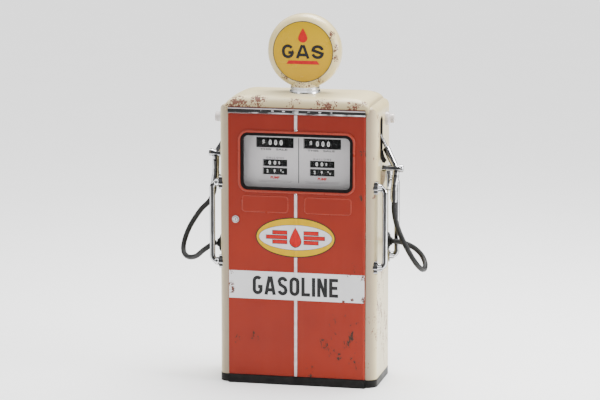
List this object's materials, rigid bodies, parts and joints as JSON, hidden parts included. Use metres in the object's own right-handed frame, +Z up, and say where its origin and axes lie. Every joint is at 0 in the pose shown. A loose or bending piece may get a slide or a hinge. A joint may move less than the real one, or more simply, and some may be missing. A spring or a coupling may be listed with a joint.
{
  "type": "fuel dispenser",
  "caption": "Mid-century fuel dispenser with hinged doors, windowed dials, side nozzles on hoses, guard rails and a round lit globe on top.",
  "frame": {"origin": "centre of the footprint on the floor, under the middle of the cabinet", "axes": "+X to the right as seen from the front, -Y out of the front face, +Z up"},
  "size_m": [1.2779, 0.429, 1.8588],
  "materials": {
    "base_black": "black enamel, dusty",
    "frame_steel": "grey primer on angle steel",
    "cream_paint": "aged cream enamel, some rust specks",
    "trim_chrome": "bright plated",
    "orange_paint": "orange-red enamel, worn at the edges",
    "strip_silver": "brushed strip",
    "black_rubber": "matt",
    "window_glass": "clear",
    "lock_metal": "worn plating",
    "dial_silver": "silver enamel with printed scales",
    "globe_shell": "ivory",
    "globe_lens": "yellow opal with printed mark",
    "lamp_glass": "opal",
    "boot_black": "black enamel",
    "hose_rubber": "woven-cover rubber, satin",
    "nozzle_chrome": "bright plated",
    "spout_steel": "bare tube",
    "lever_black": "black enamel, worn",
    "computer_grey": "dark grey enamel",
    "wheel_black": "black with white figures",
    "cast_brown": "painted casting",
    "pipe_steel": "galvanised",
    "motor_grey": "grey enamel",
    "belt_rubber": "matt"
  },
  "bodies": {
    "cabinet": {"base_tray": "base_black", "frame_uprights": "frame_steel", "frame_rails": "frame_steel", "right_side_panel": "cream_paint", "left_side_panel": "cream_paint", "roof_cap": "cream_paint", "chrome_bands": "trim_chrome", "dial_plates": "dial_silver", "globe_body": "globe_shell", "globe_lenses": "globe_lens", "globe_collar": "trim_chrome", "globe_lamp": "lamp_glass", "guard_rails": "trim_chrome", "nozzle_boots": "boot_black", "nozzle_rests": "cream_paint", "sight_glasses": "trim_chrome", "hose_outlets": "boot_black", "right_hose": "hose_rubber", "left_hose": "hose_rubber", "right_computer": "computer_grey", "left_computer": "computer_grey", "meters": "cast_brown", "pipework": "pipe_steel", "motor": "motor_grey", "drive_belt": "belt_rubber", "pumping_unit": "cast_brown", "junction_box": "frame_steel", "dial_lamps": "lamp_glass"},
    "front_door": {"front_door": "orange_paint", "front_door_strips": "strip_silver", "front_window_gasket": "black_rubber", "front_window_glass": "window_glass"},
    "front_lock": {"front_lock": "lock_metal"},
    "rear_door": {"rear_door": "orange_paint", "rear_door_strips": "strip_silver", "rear_window_gasket": "black_rubber", "rear_window_glass": "window_glass"},
    "rear_lock": {"rear_lock": "lock_metal"},
    "right_nozzle": {"right_nozzle_body": "nozzle_chrome", "right_nozzle_spout": "spout_steel"},
    "right_trigger": {"right_nozzle_lever": "lever_black"},
    "right_swivel": {"right_hose_swivel": "nozzle_chrome"},
    "right_switch": {"right_switch_lever": "lever_black"},
    "left_nozzle": {"left_nozzle_body": "nozzle_chrome", "left_nozzle_spout": "spout_steel"},
    "left_trigger": {"left_nozzle_lever": "lever_black"},
    "left_swivel": {"left_hose_swivel": "nozzle_chrome"},
    "left_switch": {"left_switch_lever": "lever_black"},
    "motor_pulley": {"motor_pulley": "frame_steel"},
    "pump_pulley": {"pump_pulley": "frame_steel"},
    "right_meter_shaft": {"right_meter_shaft": "pipe_steel"},
    "right_front_money_wheels": {"right_front_money_wheels": "wheel_black"},
    "right_front_gallon_wheels": {"right_front_gallon_wheels": "wheel_black"},
    "right_rear_money_wheels": {"right_rear_money_wheels": "wheel_black"},
    "right_rear_gallon_wheels": {"right_rear_gallon_wheels": "wheel_black"},
    "left_meter_shaft": {"left_meter_shaft": "pipe_steel"},
    "left_front_money_wheels": {"left_front_money_wheels": "wheel_black"},
    "left_front_gallon_wheels": {"left_front_gallon_wheels": "wheel_black"},
    "left_rear_money_wheels": {"left_rear_money_wheels": "wheel_black"},
    "left_rear_gallon_wheels": {"left_rear_gallon_wheels": "wheel_black"}
  },
  "joints": [
    {"name": "front_door_hinge", "type": "hinge", "parent": "cabinet", "child": "front_door", "pos_m": [0.3385, -0.1955, 0.7], "axis": [0, 0, 1], "range_deg": [0, 105]},
    {"name": "front_lock_turn", "type": "hinge", "parent": "front_door", "child": "front_lock", "pos_m": [-0.311, -0.2, 0.839], "axis": [0, -1, 0], "range_deg": [0, 90]},
    {"name": "rear_door_hinge", "type": "hinge", "parent": "cabinet", "child": "rear_door", "pos_m": [-0.3385, 0.1955, 0.7], "axis": [0, 0, 1], "range_deg": [0, 105]},
    {"name": "rear_lock_turn", "type": "hinge", "parent": "rear_door", "child": "rear_lock", "pos_m": [0.311, 0.2, 0.839], "axis": [0, 1, 0], "range_deg": [0, 90]},
    {"name": "right_nozzle_lift", "type": "slide", "parent": "cabinet", "child": "right_nozzle", "axis": [1, 0, 0], "range_m": [0, 0.12], "deforming": ["right_hose"]},
    {"name": "right_trigger_squeeze", "type": "hinge", "parent": "right_nozzle", "child": "right_trigger", "pos_m": [0.441, -0.064, 1.08], "axis": [0, -1, 0], "range_deg": [0, 8], "stiffness_Nm_per_rad": 2, "springref_deg": -5.73},
    {"name": "right_swivel_turn", "type": "hinge", "parent": "right_nozzle", "child": "right_swivel", "pos_m": [0.468, -0.064, 0.96], "axis": [0, 0, 1], "continuous": true},
    {"name": "right_switch_turn", "type": "hinge", "parent": "cabinet", "child": "right_switch", "pos_m": [0.386, -0.0865, 1.196], "axis": [0, -1, 0], "range_deg": [0, 70]},
    {"name": "left_nozzle_lift", "type": "slide", "parent": "cabinet", "child": "left_nozzle", "axis": [-1, 0, 0], "range_m": [0, 0.12], "deforming": ["left_hose"]},
    {"name": "left_trigger_squeeze", "type": "hinge", "parent": "left_nozzle", "child": "left_trigger", "pos_m": [-0.44184, 0.064, 1.10067], "axis": [0, 1, 0], "range_deg": [0, 8], "stiffness_Nm_per_rad": 2, "springref_deg": -5.73},
    {"name": "left_swivel_turn", "type": "hinge", "parent": "left_nozzle", "child": "left_swivel", "pos_m": [-0.48326, 0.064, 0.98485], "axis": [0.1219, 0, 0.9925], "continuous": true},
    {"name": "left_switch_turn", "type": "hinge", "parent": "cabinet", "child": "left_switch", "pos_m": [-0.386, 0.0865, 1.196], "axis": [0, 1, 0], "range_deg": [0, 70]},
    {"name": "pump_spin", "type": "hinge", "parent": "cabinet", "child": "pump_pulley", "pos_m": [0.07, -0.12, 0.235], "axis": [0, 1, 0], "continuous": true},
    {"name": "motor_spin", "type": "hinge", "parent": "cabinet", "child": "motor_pulley", "pos_m": [-0.19, -0.12, 0.19], "axis": [0, 1, 0], "continuous": true},
    {"name": "right_meter_spin", "type": "hinge", "parent": "cabinet", "child": "right_meter_shaft", "pos_m": [0.19, 0, 0.92], "axis": [0, 0, 1], "continuous": true},
    {"name": "right_front_money_turn", "type": "hinge", "parent": "cabinet", "child": "right_front_money_wheels", "pos_m": [0.12, -0.101, 1.2245], "axis": [1, 0, 0], "continuous": true},
    {"name": "right_front_gallon_turn", "type": "hinge", "parent": "cabinet", "child": "right_front_gallon_wheels", "pos_m": [0.12, -0.116, 1.122], "axis": [1, 0, 0], "continuous": true},
    {"name": "right_rear_money_turn", "type": "hinge", "parent": "cabinet", "child": "right_rear_money_wheels", "pos_m": [0.12, 0.101, 1.2245], "axis": [1, 0, 0], "continuous": true},
    {"name": "right_rear_gallon_turn", "type": "hinge", "parent": "cabinet", "child": "right_rear_gallon_wheels", "pos_m": [0.12, 0.116, 1.122], "axis": [1, 0, 0], "continuous": true},
    {"name": "left_meter_spin", "type": "hinge", "parent": "cabinet", "child": "left_meter_shaft", "pos_m": [-0.19, 0, 0.92], "axis": [0, 0, 1], "continuous": true},
    {"name": "left_front_money_turn", "type": "hinge", "parent": "cabinet", "child": "left_front_money_wheels", "pos_m": [-0.12, -0.101, 1.2245], "axis": [1, 0, 0], "continuous": true},
    {"name": "left_front_gallon_turn", "type": "hinge", "parent": "cabinet", "child": "left_front_gallon_wheels", "pos_m": [-0.12, -0.116, 1.122], "axis": [1, 0, 0], "continuous": true},
    {"name": "left_rear_money_turn", "type": "hinge", "parent": "cabinet", "child": "left_rear_money_wheels", "pos_m": [-0.12, 0.101, 1.2245], "axis": [1, 0, 0], "continuous": true},
    {"name": "left_rear_gallon_turn", "type": "hinge", "parent": "cabinet", "child": "left_rear_gallon_wheels", "pos_m": [-0.12, 0.116, 1.122], "axis": [1, 0, 0], "continuous": true}
  ],
  "couplings": [
    {"joint": "motor_spin", "follows": "pump_spin", "ratio": 2.4211},
    {"joint": "right_front_money_turn", "follows": "right_meter_spin", "ratio": 0.7475},
    {"joint": "right_front_gallon_turn", "follows": "right_meter_spin", "ratio": 0.25},
    {"joint": "right_rear_money_turn", "follows": "right_meter_spin", "ratio": -0.7475},
    {"joint": "right_rear_gallon_turn", "follows": "right_meter_spin", "ratio": -0.25},
    {"joint": "left_front_money_turn", "follows": "left_meter_spin", "ratio": 0.7475},
    {"joint": "left_front_gallon_turn", "follows": "left_meter_spin", "ratio": 0.25},
    {"joint": "left_rear_money_turn", "follows": "left_meter_spin", "ratio": -0.7475},
    {"joint": "left_rear_gallon_turn", "follows": "left_meter_spin", "ratio": -0.25}
  ]
}
